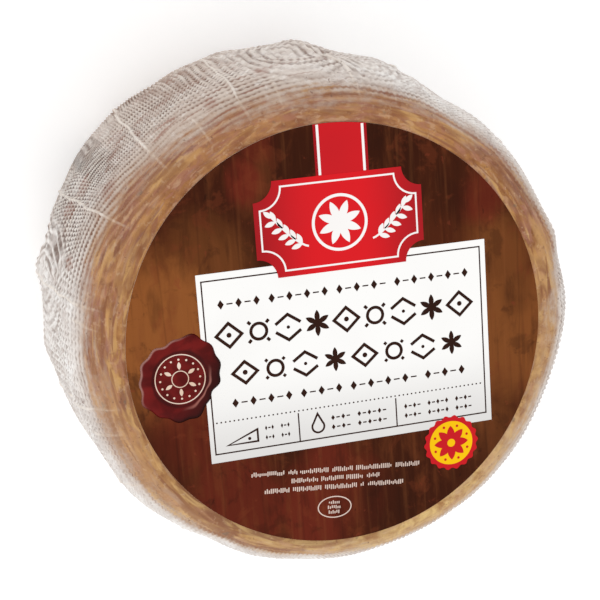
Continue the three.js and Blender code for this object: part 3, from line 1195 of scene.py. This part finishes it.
def make_badge():
    """A small round badge: a yellow disc in a scalloped red rim, with a red rosette."""
    rim = Print(0.04, 0.08)
    rim.shape([
        polar(BADGE_CENTRE, BADGE_RADIUS - 0.35 + 0.35 * math.cos(math.radians(18 * angle)), angle)
        for angle in np.arange(0, 360, 2.5)
    ])
    rim.make("badge_red", RED_INK, "print_red")
    field = Print(0.07, 0.1)
    field.disc(BADGE_CENTRE, 7.1, 64)
    field.make("badge_yellow", YELLOW_INK, "print_yellow")
    marks = Print(0.09, 0.12)
    for k in range(8):
        marks.shape(petal(BADGE_CENTRE, 5.6, 2.6, k * 45))
        marks.disc(polar(BADGE_CENTRE, 5.7, k * 45 + 22.5), 0.42, 16)
    marks.make("badge_marks", RED_INK, "print_red")
    eye = Print(0.12, 0.15)
    eye.disc(BADGE_CENTRE, 1.3, 24)
    eye.make("badge_eye", YELLOW_INK, "print_yellow")


def make_small_print():
    pale = Print(-0.01, 0.02)
    rng = np.random.default_rng(SEED + 2)
    about = (-4, -45)
    ticks(pale, -31, 23, -41.6, 1.5, (8, 2, 7, 5, 9, 6), about, rng)
    ticks(pale, -18.4, 10, -44.4, 1.5, (6, 5, 4, 3), about, rng)
    ticks(pale, -26.8, 18, -47.2, 1.5, (6, 7, 8, 1, 9), about, rng)
    pale.make("small_print", PALE_INK, "print_white")
    stamp = Print(-0.01, 0.02)
    oval = arc(STAMP_CENTRE, 5.3, 0, 355, 71, squash=0.64)
    stamp.stroke(turned_about(oval, STAMP_CENTRE, SMALL_PRINT_TURN), 0.34, closed=True)
    x, y = STAMP_CENTRE
    for lift, half in ((1.6, 1.9), (0, 2.2), (-1.6, 1.9)):
        ticks(stamp, x - half, x + half, y + lift, 1.1, (3,), STAMP_CENTRE, rng)
    stamp.make("stamp", PALE_INK, "print_white")


# ---- the object ----------------------------------------------------------------------------
INK = ink_material("dark_ink", (44, 22, 14), (58, 30, 20))
RED_INK = ink_material("red_ink", (206, 28, 35), (186, 28, 36))
DARK_RED_INK = ink_material("dark_red_ink", (166, 22, 30), (150, 20, 28))
WHITE_INK = ink_material("white_ink", (250, 248, 246), (238, 232, 230))
PALE_INK = ink_material("pale_ink", (226, 206, 194), (200, 176, 164))
GOLD_INK = ink_material("gold_ink", (236, 218, 202), (206, 160, 122), 0.35, scale=90)
YELLOW_INK = ink_material("yellow_ink", (250, 200, 10), (240, 184, 12))

make_rind()
make_label_paper()
make_panel()
make_panel_ink()
make_emblem()
make_seal()
make_badge()
make_small_print()

# ---- floor, light and camera ---------------------------------------------------------------
FLOOR_HALF = 4
FLOOR_GLOW = 0.18
WORLD_STRENGTH = 0.92
KEY_FROM = (-0.5, -0.6, 1.0)
KEY_STRENGTH = 0.45
CAMERA_FROM_LABEL = Vector((-116.25, 116.44, 409.14))
CAMERA_RIGHT = Vector((0.9619, -0.0704, 0.2641))
CAMERA_UP = Vector((0.129, 0.9688, -0.2115))
FOCAL_PIXELS = 1459.4
FRAME_PIXELS = 600
SENSOR = 36


def make_floor():
    mesh = bpy.data.meshes.new("floor")
    corners = [(FLOOR_HALF * x, FLOOR_HALF * y, 0) for x, y in ((-1, -1), (1, -1), (1, 1), (-1, 1))]
    mesh.from_pydata(corners, [], [(0, 1, 2, 3)])
    s = Shader("floor", 0.9, shine=0.1)
    cloud = s.noise(s.place(), scale=3, detail=2)
    s.surface.inputs["Emission Color"].default_value = (1, 1, 1, 1)
    s.surface.inputs["Emission Strength"].default_value = FLOOR_GLOW
    mesh.materials.append(s.finish(s.mix(cloud, colour(250, 250, 250), colour(252, 252, 252))))
    add_object("floor", mesh)


def make_lights():
    """Even light from all round, and a very soft far light."""
    world = bpy.data.worlds.new("studio")
    world.use_nodes = True
    sky = world.node_tree.nodes["Background"].inputs
    sky["Color"].default_value = (1, 1, 1, 1)
    sky["Strength"].default_value = WORLD_STRENGTH
    bpy.context.scene.world = world
    lamp = bpy.data.lights.new("key", "SUN")
    lamp.energy = KEY_STRENGTH
    lamp.angle = math.radians(60)
    key = add_object("key", lamp)
    key.rotation_euler = (-Vector(KEY_FROM)).to_track_quat("-Z", "Y").to_euler()


def make_camera():
    lens = bpy.data.cameras.new("camera")
    lens.sensor_width = SENSOR
    lens.lens = FOCAL_PIXELS / FRAME_PIXELS * SENSOR
    lens.clip_start = 0.01
    camera = add_object("camera", lens)
    right = CAMERA_RIGHT.normalized()
    back = right.cross(CAMERA_UP).normalized()
    up = back.cross(right)
    turn = Matrix((right, up, back)).transposed().to_4x4()
    start = Vector((LABEL_CENTRE.x, LABEL_CENTRE.y, LABEL_TOP))
    camera.matrix_world = Matrix.Translation(start + MM * CAMERA_FROM_LABEL) @ turn
    bpy.context.scene.camera = camera


make_floor()
make_lights()
make_camera()
bpy.context.scene.view_settings.view_transform = "Standard"
